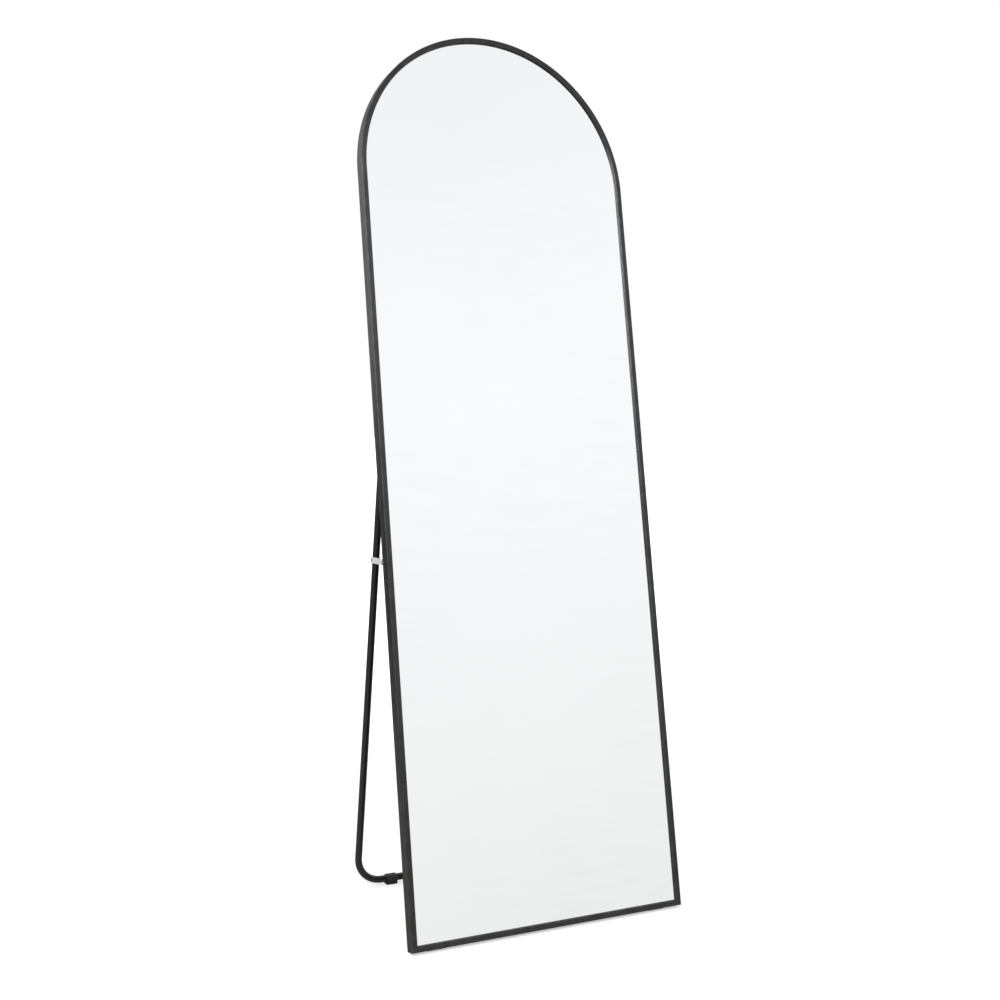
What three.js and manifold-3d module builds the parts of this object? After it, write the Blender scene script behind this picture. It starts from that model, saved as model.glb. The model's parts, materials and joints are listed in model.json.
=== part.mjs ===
// Arched full-length floor mirror on a folding U-shaped rear stand.
// Millimetres, +Z up, front of the mirror towards -Y, standing on Z = 0.
//
// Each piece of the mirror proper is drawn in the mirror's own frame, which then leans back:
//   x = across, 0 on the centre line;  y = depth, 0 at the front face, rearwards positive;
//   z = height along the mirror, 0 at the outer face of the bottom rail.
// The stand and its stays are nested groups that turn about their pins.

import * as THREE from 'three';
import { mergeVertices } from 'three/addons/utils/BufferGeometryUtils.js';
import Module from 'manifold-3d';

// ---------------------------------------------------------------- driving dimensions

// overall
const width = 500;             // across the frame, and twice the arch radius
const height = 1500;           // along the leaning frame
const frameDepth = 20;
const leanAngle = 13;          // degrees from upright, stand open
const standAngle = 17.7;       // degrees between mirror and legs, stand open

// aluminium frame section
const faceWidth = 9.5;
const lipThickness = 1.8;      // metal in front of the glass
const grooveFloor = 5.5;       // outer face to the bottom of the glass groove
const frameWall = 1.5;
const outerRound = 1.2;
const innerRound = 0.6;
const archSteps = 72;

// mirror panel
const glassThickness = 3;
const filmThickness = 0.2;
const boardThickness = 2;
const panelBite = 2.5;         // how far the panel reaches into the groove
const panelGap = 0.2;          // between the layers, and to the groove's sides
const settingBlockLength = 40;
const settingBlockOffset = 140;

// corner keys
const keyArm = 42;
const keyGap = 0.25;
const keyScrewReach = 30;      // corner to the screw

// stand
const tubeRadius = 6;
const tubeWall = 1.2;
const bendRadius = 45;
const bendSteps = 12;
const legInset = 28.5;         // side of the frame to the leg's centre line
const legEndSpare = 0.05;      // the leg's end is rounded about its pivot, just over the tube's radius
const pivotHeight = 926;
const standClearance = 0.4;    // back board to the folded tube
const insertReach = 12;          // insert in the end of the tube, below the pivot

// fasteners and running clearances
const seatGap = 0.3;           // between pieces that touch
const holeGap = 0.3;           // radial, screws and rivets in their holes
const pivotBoltRadius = 2.5;
const pivotBoltSpare = 1;      // thread beyond the nut
const pivotHeadRadius = 4.2;     // countersunk, flush with the side of the frame
const pivotRecessDepth = 1.4;
const pivotRecessRadius = 1.6;
const pivotNutFlats = 8;
const pivotNutLength = 5;
const pivotSpacerRadius = 5.6;
const saddleWasherLength = 3;

// folding stays
const stayDrop = 327;          // pivot to each of the stay's two end pins
const kneeSag = 1.2;             // knee below the straight line between the pins
const linkThickness = 1.5;
const linkWidth = 10;
const rivetRadius = 2;
const rivetHeadRadius = 3.6;
const rivetHeadHeight = 1.2;
const flushHeadRadius = 3.2;
const stayScrewRadius = 2;
const stayScrewHeadRadius = 3.6;
const stayRecessDepth = 1.2;
const stayRecessRadius = 1.4;
const stayScrewReach = 5;      // screw thread inside the stud
const studRadius = 4;

// clip-on feet of the stand
const footHeight = 10;         // bar centre line above the floor
const footLength = 20;
const footOffset = 158;        // centre line of the mirror to the clip's centre
const footWall = 1.7;
const footSoleWidth = 13;
const footMouth = 70;          // degrees left open, on top

// pads under the bottom rail
const padThin = 0.8;
const padLength = 30;
const padOffset = 205;
const padFront = 11;           // depth where the pad starts
const padRear = 19.4;

// wall hangers
const hangerDrop = 60;         // spring line of the arch to the plate's centre
const hangerLength = 62;
const hangerWidth = 18;
const hangerThickness = 1.5;
const hangerScrewSpread = 44;
const keyholeInset = 13.5;
const keyholeLarge = 4;
const keyholeSmall = 2.1;
const keyholeRise = 11;

// small screws
const smallScrewRadius = 1.5;
const smallScrewHeadRadius = 2.7;
const smallScrewHeadHeight = 1.4;
const smallScrewLength = 8;

// ---------------------------------------------------------------- sizes that follow

const radians = THREE.MathUtils.degToRad;
const lean = radians(leanAngle);
const spread = radians(standAngle);
const halfWidth = width / 2;
const springLine = height - halfWidth;

// depths of the layers in the frame
const glassFront = lipThickness + panelGap;
const filmFront = glassFront + glassThickness + panelGap;
const boardFront = filmFront + filmThickness + panelGap;
const boardRear = boardFront + boardThickness;
const grooveRear = boardRear + panelGap;
const hollowFront = grooveRear + frameWall;
const hollowRear = frameDepth - frameWall;
const hollowInner = faceWidth - frameWall;
const panelInset = faceWidth - panelBite;

// distances from the centre plane, leg outwards: rear link, front link, knee rivet's head
const railInside = halfWidth - faceWidth;
const legX = halfWidth - legInset;
const legOutside = legX + tubeRadius;
const rearLinkInner = legOutside + seatGap;
const rearLinkOuter = rearLinkInner + linkThickness;
const frontLinkInner = rearLinkOuter + seatGap;
const frontLinkOuter = frontLinkInner + linkThickness;
const pivotDepth = boardRear + standClearance + Math.max(tubeRadius, pivotSpacerRadius);

// the pivot's height above the floor sets the length of the legs
const frameLift = padThin + frameDepth * Math.sin(lean);
const pivotRise = frameLift + pivotHeight * Math.cos(lean) - pivotDepth * Math.sin(lean);
const legSlope = spread - lean;
const legLength = (pivotRise - footHeight) / Math.cos(legSlope);

// the stay's two equal links, as the sides of a flat triangle on the line between its end pins
const pinSpan = 2 * stayDrop * Math.sin(spread / 2);
const linkLength = Math.hypot(pinSpan / 2, kneeSag);
const sagAngle = Math.atan2(kneeSag, pinSpan / 2);
const frontLinkTurn = spread / 2 - sagAngle;
const rearLinkTurn = sagAngle - spread / 2;
const anchorHeight = pivotHeight - stayDrop;

// ---------------------------------------------------------------- finishes

const finishes = {
  frame: { color: 0x3f3f42, roughness: 0.42, metalness: 0.85 },
  stand: { color: 0x232324, roughness: 0.38, metalness: 0.2 },
  glass: { color: 0xf2f4f5, roughness: 0.02, metalness: 1 },
  film: { color: 0xb9bcc0, roughness: 0.5, metalness: 0 },
  board: { color: 0x2c2c2e, roughness: 0.85, metalness: 0 },
  rubber: { color: 0x1c1c1d, roughness: 0.8, metalness: 0 },
  silicone: { color: 0xe6e8e8, roughness: 0.4, metalness: 0 },
  zinc: { color: 0xc9cccd, roughness: 0.35, metalness: 0.9 },
  steel: { color: 0x8b8d90, roughness: 0.3, metalness: 1 },
  blackSteel: { color: 0x2a2a2b, roughness: 0.45, metalness: 0.7 },
  nylon: { color: 0x26262a, roughness: 0.6, metalness: 0 },
};

// ---------------------------------------------------------------- solid helpers

const wasm = await Module();
wasm.setup();

function signedVolume(position, index) {
  const a = new THREE.Vector3();
  const b = new THREE.Vector3();
  const c = new THREE.Vector3();
  let total = 0;
  for (let i = 0; i < index.length; i += 3) {
    a.fromArray(position, index[i] * 3);
    b.fromArray(position, index[i + 1] * 3);
    c.fromArray(position, index[i + 2] * 3);
    total += a.dot(b.cross(c));
  }
  return total / 6;
}

// closed solid of a geometry, with its faces turned outwards
function solid(geometry) {
  const plain = geometry.clone();
  plain.deleteAttribute('normal');
  plain.deleteAttribute('uv');
  const merged = mergeVertices(plain, 1e-4);
  const position = new Float32Array(merged.attributes.position.array);
  const index = merged.index.array;
  const kept = [];
  for (let i = 0; i < index.length; i += 3) {
    const [a, b, c] = [index[i], index[i + 1], index[i + 2]];
    if (a !== b && b !== c && c !== a) {
      kept.push(a, b, c);
    }
  }
  if (signedVolume(position, kept) < 0) {
    kept.reverse();
  }
  const mesh = new wasm.Mesh({
    numProp: 3,
    vertProperties: position,
    triVerts: new Uint32Array(kept),
  });
  return new wasm.Manifold(mesh);
}

function cut(body, cutters) {
  return cutters.reduce((rest, cutter) => rest.subtract(cutter), body);
}

function addPiece(group, name, body, finishName) {
  const mesh = body.getMesh();
  const geometry = new THREE.BufferGeometry();
  geometry.setAttribute('position', new THREE.BufferAttribute(mesh.vertProperties, 3));
  geometry.setIndex(new THREE.BufferAttribute(mesh.triVerts, 1));
  geometry.computeVertexNormals();
  const piece = new THREE.Mesh(geometry, new THREE.MeshStandardMaterial(finishes[finishName]));
  piece.name = name;
  group.add(piece);
}

// ---------------------------------------------------------------- outlines

function shapeOf(points) {
  return new THREE.Shape(points.map(([x, y]) => new THREE.Vector2(x, y)));
}

function arcPoints(centreX, centreY, radius, fromDegrees, toDegrees, steps) {
  const points = [];
  for (let i = 0; i <= steps; i += 1) {
    const angle = radians(fromDegrees + (toDegrees - fromDegrees) * i / steps);
    points.push([centreX + radius * Math.cos(angle), centreY + radius * Math.sin(angle)]);
  }
  return points;
}

// outline with softened corners; each corner is [x, y, radius]
function softOutline(corners, path) {
  const count = corners.length;
  corners.forEach(([x, y, radius = 0], i) => {
    const corner = new THREE.Vector2(x, y);
    const towards = ([nextX, nextY]) => {
      const offset = new THREE.Vector2(nextX, nextY).sub(corner).setLength(radius);
      return offset.add(corner);
    };
    const start = radius > 0 ? towards(corners[(i + count - 1) % count]) : corner;
    if (i === 0) {
      path.moveTo(start.x, start.y);
    } else {
      path.lineTo(start.x, start.y);
    }
    if (radius > 0) {
      const end = towards(corners[(i + 1) % count]);
      path.quadraticCurveTo(x, y, end.x, end.y);
    }
  });
  path.closePath();
  return path;
}

// plate with its outline in XZ, between two depths
function plate(outline, front, rear, curveSegments = 12) {
  const options = { depth: rear - front, bevelEnabled: false, curveSegments };
  const geometry = new THREE.ExtrudeGeometry(outline, options);
  geometry.rotateX(Math.PI / 2);
  geometry.translate(0, rear, 0);
  return solid(geometry);
}

// bar along X between two distances, with its outline in YZ
function barAlongX(outline, start, end, curveSegments = 12) {
  const options = { depth: Math.abs(end - start), bevelEnabled: false, curveSegments };
  const geometry = new THREE.ExtrudeGeometry(outline, options);
  const turn = new THREE.Matrix4().makeBasis(
    new THREE.Vector3(0, 1, 0),
    new THREE.Vector3(0, 0, 1),
    new THREE.Vector3(1, 0, 0),
  );
  geometry.applyMatrix4(turn);
  geometry.translate(Math.min(start, end), 0, 0);
  return solid(geometry);
}

// turned piece across X at a depth and height; profile points are [distance from centre, radius]
function turned(side, profile, y = 0, z = 0, segments = 24) {
  const points = profile.map(([across, radius]) => new THREE.Vector2(radius, across));
  const geometry = new THREE.LatheGeometry(points, segments);
  geometry.rotateZ(-side * Math.PI / 2);
  geometry.translate(0, y, z);
  return solid(geometry);
}

function rodAcross(side, start, end, radius, y = 0, z = 0, segments = 24) {
  return turned(side, [[start, 0], [start, radius], [end, radius], [end, 0]], y, z, segments);
}

// turned piece along Y; profile points are [depth, radius]
function turnedAlongY(profile, x, z, segments = 24) {
  const points = profile.map(([depth, radius]) => new THREE.Vector2(radius, depth));
  const geometry = new THREE.LatheGeometry(points, segments);
  geometry.translate(x, 0, z);
  return solid(geometry);
}

function rodAlongY(front, rear, radius, x, z) {
  return turnedAlongY([[front, 0], [front, radius], [rear, radius], [rear, 0]], x, z);
}

// domed head that rises outwards from a seat
function domePoints(seat, radius, rise) {
  return [
    [seat, radius],
    [seat + 0.3 * rise, radius],
    [seat + 0.62 * rise, 0.88 * radius],
    [seat + 0.86 * rise, 0.62 * radius],
    [seat + rise, 0.3 * radius],
    [seat + rise, 0],
  ];
}

// path given by its stations, so a straight stretch is one step and a bend is many
class StationPath extends THREE.Curve {
  constructor(stations) {
    super();
    this.stations = stations;
  }

  station(u) {
    return this.stations[Math.round(u * (this.stations.length - 1))];
  }

  getPointAt(u, target = new THREE.Vector3()) {
    return target.copy(this.station(u).point);
  }

  getTangentAt(u, target = new THREE.Vector3()) {
    return target.copy(this.station(u).tangent);
  }
}

function station(x, z, tangentX, tangentZ) {
  return {
    point: new THREE.Vector3(x, 0, z),
    tangent: new THREE.Vector3(tangentX, 0, tangentZ),
  };
}

function arcStations(centreX, centreZ, radius, fromDegrees, toDegrees, steps) {
  const turn = Math.sign(toDegrees - fromDegrees);
  const points = arcPoints(centreX, centreZ, radius, fromDegrees, toDegrees, steps);
  return points.map(([x, z]) => {
    const tangentX = -turn * (z - centreZ) / radius;
    const tangentZ = turn * (x - centreX) / radius;
    return station(x, z, tangentX, tangentZ);
  });
}

function sweep(outline, stations, curveSegments) {
  const options = {
    steps: stations.length - 1,
    bevelEnabled: false,
    curveSegments,
    extrudePath: new StationPath(stations),
  };
  return solid(new THREE.ExtrudeGeometry(outline, options));
}

const sides = [['left', -1], ['right', 1]];

// ---------------------------------------------------------------- frame

// frame section as [depth, distance in from the outer face], depth negated for the swept arch
function frameSection(depthSign) {
  const place = (corners) => {
    const placed = corners.map(([depth, inward, radius]) => [depthSign * depth, inward, radius]);
    return depthSign > 0 ? placed.reverse() : placed;
  };
  const outline = softOutline(place([
    [0, 0, outerRound],
    [0, faceWidth, innerRound],
    [lipThickness, faceWidth],
    [lipThickness, grooveFloor],
    [grooveRear, grooveFloor],
    [grooveRear, faceWidth],
    [frameDepth, faceWidth, innerRound],
    [frameDepth, 0, innerRound],
  ]), new THREE.Shape());
  outline.holes.push(softOutline(place([
    [hollowFront, frameWall],
    [hollowFront, hollowInner],
    [hollowRear, hollowInner],
    [hollowRear, frameWall],
  ]), new THREE.Path()));
  return outline;
}

// wedge that trims one member of a 45 degree corner, above or below the joint's line
function mitreWedge(side, above) {
  const shift = (above ? -1 : 1) * seatGap / 2 * Math.SQRT2;
  const reach = faceWidth + 4;
  const third = above ? [-4, reach] : [reach, -6];
  const corners = [[-4, shift - 4], [reach, shift + reach], third];
  const points = corners.map(([inward, z]) => [side * (halfWidth - inward), z]);
  return plate(shapeOf(points), -1, frameDepth + 1);
}

// countersunk hole from the rear face
function sunkHole(x, z) {
  const mouth = smallScrewHeadRadius + holeGap * Math.SQRT2;
  const neck = smallScrewRadius + holeGap;
  return turnedAlongY([
    [hollowRear - 1, 0],
    [hollowRear - 1, neck],
    [frameDepth - mouth + neck, neck],
    [frameDepth, mouth],
    [frameDepth + 1, mouth],
    [frameDepth + 1, 0],
  ], x, z);
}

// places of the corner screws, as [name, x, z, member]
const cornerScrews = sides.flatMap(([name, side]) => [
  [`${name}_upper`, side * (halfWidth - faceWidth / 2), keyScrewReach, 'arch'],
  [`${name}_lower`, side * (halfWidth - keyScrewReach), faceWidth / 2, 'rail'],
]);

const hangerHeight = springLine - hangerDrop;
const hangerScrews = sides.flatMap(([name, side]) => [
  [`${name}_upper`, side * (halfWidth - faceWidth / 2), hangerHeight + hangerScrewSpread / 2],
  [`${name}_lower`, side * (halfWidth - faceWidth / 2), hangerHeight - hangerScrewSpread / 2],
]);

function sunkHolesOf(member) {
  const own = cornerScrews.filter((screw) => screw[3] === member);
  return own.map(([, x, z]) => sunkHole(x, z));
}

// countersunk mouth in the side of the frame
function sideSink(side, headRadius, shankRadius, z) {
  const mouth = headRadius + holeGap * Math.SQRT2;
  const neck = shankRadius + holeGap;
  return turned(side, [
    [halfWidth - mouth + neck, 0],
    [halfWidth - mouth + neck, neck],
    [halfWidth, mouth],
    [halfWidth + 1, mouth],
    [halfWidth + 1, 0],
  ], pivotDepth, z);
}

function crossHolesOfFrame(side) {
  const start = railInside - 1;
  const end = halfWidth + 1;
  return [
    sideSink(side, pivotHeadRadius, pivotBoltRadius, pivotHeight),
    sideSink(side, stayScrewHeadRadius, stayScrewRadius, anchorHeight),
    rodAcross(side, start, end, pivotBoltRadius + holeGap, pivotDepth, pivotHeight),
    rodAcross(side, start, end, stayScrewRadius + holeGap, pivotDepth, anchorHeight),
  ];
}

function frameArch() {
  const stations = [
    station(-halfWidth, 0, 0, 1),
    ...arcStations(0, springLine, halfWidth, 180, 0, archSteps),
    station(halfWidth, 0, 0, -1),
  ];
  const whole = sweep(frameSection(-1), stations, 3);
  const hangerHoles = hangerScrews.map(([, x, z]) => (
    rodAlongY(hollowRear - 1, frameDepth + 1, smallScrewRadius + holeGap, x, z)
  ));
  return cut(whole, [
    mitreWedge(-1, false),
    mitreWedge(1, false),
    ...crossHolesOfFrame(-1),
    ...crossHolesOfFrame(1),
    ...hangerHoles,
    ...sunkHolesOf('arch'),
  ]);
}

function bottomRail() {
  const whole = barAlongX(frameSection(1), -halfWidth, halfWidth, 3);
  return cut(whole, [mitreWedge(-1, true), mitreWedge(1, true), ...sunkHolesOf('rail')]);
}

// L-shaped key that lies in the hollows of both members
function cornerKey(side) {
  const near = frameWall + keyGap;
  const far = hollowInner - keyGap;
  const corners = [[near, near], [keyArm, near], [keyArm, far], [far, far], [far, keyArm], [near, keyArm]];
  const points = corners.map(([inward, z]) => [side * (halfWidth - inward), z]);
  const body = plate(shapeOf(points), hollowFront + keyGap, hollowRear - keyGap);
  const mine = cornerScrews.filter((screw) => Math.sign(screw[1]) === side);
  const front = frameDepth - smallScrewLength - 0.5;
  return cut(body, mine.map(([, x, z]) => (
    rodAlongY(front, frameDepth, smallScrewRadius + holeGap, x, z)
  )));
}

function cornerScrew(x, z) {
  return turnedAlongY([
    [frameDepth - smallScrewLength, 0],
    [frameDepth - smallScrewLength, smallScrewRadius],
    [frameDepth - smallScrewHeadRadius + smallScrewRadius, smallScrewRadius],
    [frameDepth, smallScrewHeadRadius],
    [frameDepth, 0],
  ], x, z);
}

// ---------------------------------------------------------------- mirror panel

function panelSheet(front, thickness) {
  const edge = halfWidth - panelInset;
  const points = [
    [-edge, panelInset],
    [edge, panelInset],
    ...arcPoints(0, springLine, edge, 0, 180, archSteps),
  ];
  return plate(shapeOf(points), front, front + thickness);
}

function settingBlock(side) {
  const low = grooveFloor + panelGap;
  const high = panelInset - panelGap;
  const outline = shapeOf([[glassFront, low], [boardRear, low], [boardRear, high], [glassFront, high]]);
  const middle = side * settingBlockOffset;
  return barAlongX(outline, middle - settingBlockLength / 2, middle + settingBlockLength / 2);
}

// ---------------------------------------------------------------- pivots

function pivotBolt(side) {
  const end = legX - tubeRadius - 2 * seatGap - saddleWasherLength - pivotNutLength - pivotBoltSpare;
  const body = turned(side, [
    [end, 0],
    [end, pivotBoltRadius],
    [halfWidth - pivotHeadRadius + pivotBoltRadius, pivotBoltRadius],
    [halfWidth, pivotHeadRadius],
    [halfWidth, 0],
  ], pivotDepth, pivotHeight);
  const bottom = halfWidth - pivotRecessDepth;
  return cut(body, [
    rodAcross(side, bottom, halfWidth + 1, pivotRecessRadius, pivotDepth, pivotHeight, 6),
  ]);
}

function pivotNut(side) {
  const end = legX - tubeRadius - 2 * seatGap - saddleWasherLength;
  const start = end - pivotNutLength;
  const corner = pivotNutFlats / Math.sqrt(3);
  const body = rodAcross(side, start, end, corner, pivotDepth, pivotHeight, 6);
  const hole = pivotBoltRadius + holeGap;
  return cut(body, [rodAcross(side, start - 1, end + 1, hole, pivotDepth, pivotHeight)]);
}

// tube along Z that gives a saddle its hollow
function saddleCutter(side) {
  const outline = shapeOf(arcPoints(side * legX, 0, tubeRadius + seatGap, 0, 345, 23));
  const geometry = new THREE.ExtrudeGeometry(outline, { depth: 40, bevelEnabled: false });
  geometry.translate(0, 0, -20);
  return solid(geometry);
}

function pivotSaddle(side, start, end) {
  const body = rodAcross(side, start, end, pivotSpacerRadius);
  const hole = pivotBoltRadius + holeGap;
  return cut(body, [saddleCutter(side), rodAcross(side, start - 1, end + 1, hole)]);
}

// ---------------------------------------------------------------- stand

// what is trimmed off the top of a leg to round it about the pivot
function legEndCutter(side) {
  const radius = tubeRadius + legEndSpare;
  const clear = tubeRadius + 6;
  const outline = shapeOf([
    [clear, 0],
    [clear, clear],
    [-clear, clear],
    [-clear, 0],
    ...arcPoints(0, 0, radius, 180, 0, 24),
  ]);
  return barAlongX(outline, side * legX - clear, side * legX + clear);
}

function standTube() {
  const bendX = legX - bendRadius;
  const bendZ = bendRadius - legLength;
  const stations = [
    station(-legX, tubeRadius + 3, 0, -1),
    ...arcStations(-bendX, bendZ, bendRadius, 180, 270, bendSteps),
    ...arcStations(bendX, bendZ, bendRadius, 270, 360, bendSteps),
    station(legX, tubeRadius + 3, 0, 1),
  ];
  const ring = new THREE.Shape();
  ring.absarc(0, 0, tubeRadius, 0, 2 * Math.PI, false);
  const bore = new THREE.Path();
  bore.absarc(0, 0, tubeRadius - tubeWall, 0, 2 * Math.PI, false);
  ring.holes.push(bore);
  const holes = sides.flatMap(([, side]) => {
    const start = legX - tubeRadius - 1;
    const end = legX + tubeRadius + 1;
    return [
      legEndCutter(side),
      rodAcross(side, start, end, pivotBoltRadius + holeGap),
      rodAcross(side, start, end, rivetRadius + holeGap, 0, -stayDrop),
    ];
  });
  return cut(sweep(ring, stations, 12), holes);
}

// insert that keeps the pivot bolt from crushing the tube
function tubeInsert(side) {
  const radius = tubeRadius - tubeWall - seatGap;
  const profile = [
    [0, -insertReach],
    [radius - 0.6, -insertReach],
    [radius, 0.6 - insertReach],
    [radius, tubeRadius + 3],
    [0, tubeRadius + 3],
  ].map(([x, z]) => new THREE.Vector2(x, z));
  const geometry = new THREE.LatheGeometry(profile, 24);
  geometry.rotateX(Math.PI / 2);
  geometry.translate(side * legX, 0, 0);
  const hole = rodAcross(side, legX - tubeRadius, legX + tubeRadius, pivotBoltRadius + holeGap);
  return cut(solid(geometry), [legEndCutter(side), hole]);
}

// C-shaped clip round the bar, with a flat sole level with the floor
function standFoot(side) {
  const bore = tubeRadius + seatGap;
  const outer = bore + footWall;
  const half = footSoleWidth / 2;
  const shoulder = THREE.MathUtils.radToDeg(Math.acos(half / outer));
  const mouthEdge = 90 - footMouth / 2;
  const points = [
    ...arcPoints(0, 0, outer, 180 - mouthEdge, 180 + shoulder, 8),
    [-half, 0.8 - footHeight],
    [0.8 - half, -footHeight],
    [half - 0.8, -footHeight],
    [half, 0.8 - footHeight],
    ...arcPoints(0, 0, outer, 360 - shoulder, 360 + mouthEdge, 8),
    ...arcPoints(0, 0, bore, mouthEdge, mouthEdge + footMouth - 360, 20),
  ];
  const middle = side * footOffset;
  return barAlongX(shapeOf(points), middle - footLength / 2, middle + footLength / 2);
}

// ---------------------------------------------------------------- stays

// countersink cutter that opens towards a face; dir is where the face looks, along the side
function sunkMouth(side, face, dir, y) {
  const mouth = flushHeadRadius + holeGap * Math.SQRT2;
  const neck = rivetRadius + holeGap;
  const points = [
    [face + dir, 0],
    [face + dir, mouth],
    [face, mouth],
    [face - dir * (mouth - neck), neck],
    [face - dir * (linkThickness + 1), neck],
    [face - dir * (linkThickness + 1), 0],
  ];
  return turned(side, points, y, 0);
}

function linkOutline(reach) {
  const radius = linkWidth / 2;
  const [low, high] = reach < 0 ? [reach, 0] : [0, reach];
  return shapeOf([
    ...arcPoints(high, 0, radius, -90, 90, 14),
    ...arcPoints(low, 0, radius, 90, 270, 14),
  ]);
}

// from the frame's stud, at the group's origin, back to the knee
function frontLink(side) {
  const body = barAlongX(linkOutline(linkLength), side * frontLinkInner, side * frontLinkOuter);
  return cut(body, [
    sunkMouth(side, frontLinkInner, -1, 0),
    rodAcross(side, frontLinkInner - 1, frontLinkOuter + 1, rivetRadius + holeGap, linkLength),
  ]);
}

// from the leg's rivet, at the group's origin, forward to the knee
function rearLink(side) {
  const body = barAlongX(linkOutline(-linkLength), side * rearLinkInner, side * rearLinkOuter);
  return cut(body, [
    sunkMouth(side, rearLinkOuter, 1, 0),
    sunkMouth(side, rearLinkInner, -1, -linkLength),
  ]);
}

// rivet with a flush head in the rear link and a domed head inside the leg
function legRivet(side) {
  const inner = legX - tubeRadius - seatGap;
  return turned(side, [
    [inner - rivetHeadHeight, 0],
    [inner - rivetHeadHeight, 0.5 * rivetHeadRadius],
    [inner - 0.6 * rivetHeadHeight, 0.9 * rivetHeadRadius],
    [inner - 0.2 * rivetHeadHeight, rivetHeadRadius],
    [inner, rivetHeadRadius],
    [inner, rivetRadius],
    [rearLinkOuter - flushHeadRadius + rivetRadius, rivetRadius],
    [rearLinkOuter, flushHeadRadius],
    [rearLinkOuter, 0],
  ]);
}

function kneeRivet(side) {
  const seat = frontLinkOuter + seatGap;
  return turned(side, [
    [frontLinkInner, 0],
    [frontLinkInner, rivetRadius],
    [seat, rivetRadius],
    ...domePoints(seat, rivetHeadRadius, rivetHeadHeight),
  ], linkLength);
}

// closed end of the knee's rivet, flush in the rear link
function kneeTail(side) {
  return turned(side, [
    [rearLinkInner, 0],
    [rearLinkInner, flushHeadRadius],
    [rearLinkInner + flushHeadRadius - rivetRadius, rivetRadius],
    [rearLinkOuter, rivetRadius],
    [rearLinkOuter, 0],
  ], -linkLength);
}

// stud between rail and front link, tapped for the screw and flared flush in the link
function stayStud(side) {
  const start = frontLinkOuter + seatGap;
  const end = railInside - seatGap;
  const body = turned(side, [
    [frontLinkInner, 0],
    [frontLinkInner, flushHeadRadius],
    [frontLinkInner + flushHeadRadius - rivetRadius, rivetRadius],
    [start, rivetRadius],
    [start, studRadius],
    [end, studRadius],
    [end, 0],
  ], pivotDepth, anchorHeight);
  const bottom = end - stayScrewReach - holeGap;
  const hole = stayScrewRadius + holeGap;
  return cut(body, [rodAcross(side, bottom, end + 1, hole, pivotDepth, anchorHeight)]);
}

function stayScrew(side) {
  const end = railInside - seatGap - stayScrewReach;
  const body = turned(side, [
    [end, 0],
    [end, stayScrewRadius],
    [halfWidth - stayScrewHeadRadius + stayScrewRadius, stayScrewRadius],
    [halfWidth, stayScrewHeadRadius],
    [halfWidth, 0],
  ], pivotDepth, anchorHeight);
  const bottom = halfWidth - stayRecessDepth;
  return cut(body, [
    rodAcross(side, bottom, halfWidth + 1, stayRecessRadius, pivotDepth, anchorHeight, 6),
  ]);
}

// ---------------------------------------------------------------- hangers and pads

function hangerPlate(side) {
  const inward = (distance) => side * (halfWidth - distance);
  const outerEdge = inward(0.5);
  const innerEdge = inward(0.5 + hangerWidth);
  const high = hangerHeight + hangerLength / 2;
  const low = hangerHeight - hangerLength / 2;
  const outline = softOutline([
    [outerEdge, low, 2.5],
    [innerEdge, low, 5],
    [innerEdge, high, 5],
    [outerEdge, high, 2.5],
  ], new THREE.Shape());
  const front = frameDepth + seatGap;
  const keyX = inward(keyholeInset);
  const keyZ = hangerHeight - 4;
  const slotEnd = keyZ + keyholeRise;
  const slot = shapeOf([
    [keyX - keyholeSmall, keyZ],
    [keyX + keyholeSmall, keyZ],
    ...arcPoints(keyX, slotEnd, keyholeSmall, 0, 180, 10),
  ]);
  const rear = front + hangerThickness;
  const screwHoles = hangerScrews.filter((screw) => Math.sign(screw[1]) === side);
  return cut(plate(outline, front, rear, 6), [
    plate(slot, front - 1, rear + 1),
    rodAlongY(front - 1, rear + 1, keyholeLarge, keyX, keyZ),
    ...screwHoles.map(([, x, z]) => (
      rodAlongY(front - 1, rear + 1, smallScrewRadius + holeGap, x, z)
    )),
  ]);
}

function hangerScrew(x, z) {
  const seat = frameDepth + 2 * seatGap + hangerThickness;
  return turnedAlongY([
    [seat - smallScrewLength, 0],
    [seat - smallScrewLength, smallScrewRadius],
    [seat, smallScrewRadius],
    ...domePoints(seat, smallScrewHeadRadius, smallScrewHeadHeight),
  ], x, z);
}

// wedge between the bottom rail's underside and the floor
function bottomPad(side) {
  const floorAt = (depth) => (depth * Math.sin(lean) - frameLift) / Math.cos(lean);
  const outline = shapeOf([
    [padFront, -seatGap],
    [padFront, floorAt(padFront)],
    [padRear, floorAt(padRear)],
    [padRear, -seatGap],
  ]);
  const middle = side * padOffset;
  return barAlongX(outline, middle - padLength / 2, middle + padLength / 2);
}

// ---------------------------------------------------------------- assembly

const mirror = new THREE.Group();
mirror.rotation.x = -lean;
mirror.position.z = frameLift;

addPiece(mirror, 'frame_arch', frameArch(), 'frame');
addPiece(mirror, 'bottom_rail', bottomRail(), 'frame');
addPiece(mirror, 'mirror_glass', panelSheet(glassFront, glassThickness), 'glass');
addPiece(mirror, 'safety_film', panelSheet(filmFront, filmThickness), 'film');
addPiece(mirror, 'back_board', panelSheet(boardFront, boardThickness), 'board');
cornerScrews.forEach(([name, x, z]) => {
  addPiece(mirror, `corner_screw_${name}`, cornerScrew(x, z), 'zinc');
});
hangerScrews.forEach(([name, x, z]) => {
  addPiece(mirror, `hanger_screw_${name}`, hangerScrew(x, z), 'zinc');
});

const stand = new THREE.Group();
stand.position.set(0, pivotDepth, pivotHeight);
stand.rotation.x = spread;
mirror.add(stand);
addPiece(stand, 'stand_tube', standTube(), 'stand');

const standBar = new THREE.Group();
standBar.position.z = -legLength;
standBar.rotation.x = -legSlope;
stand.add(standBar);

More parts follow.
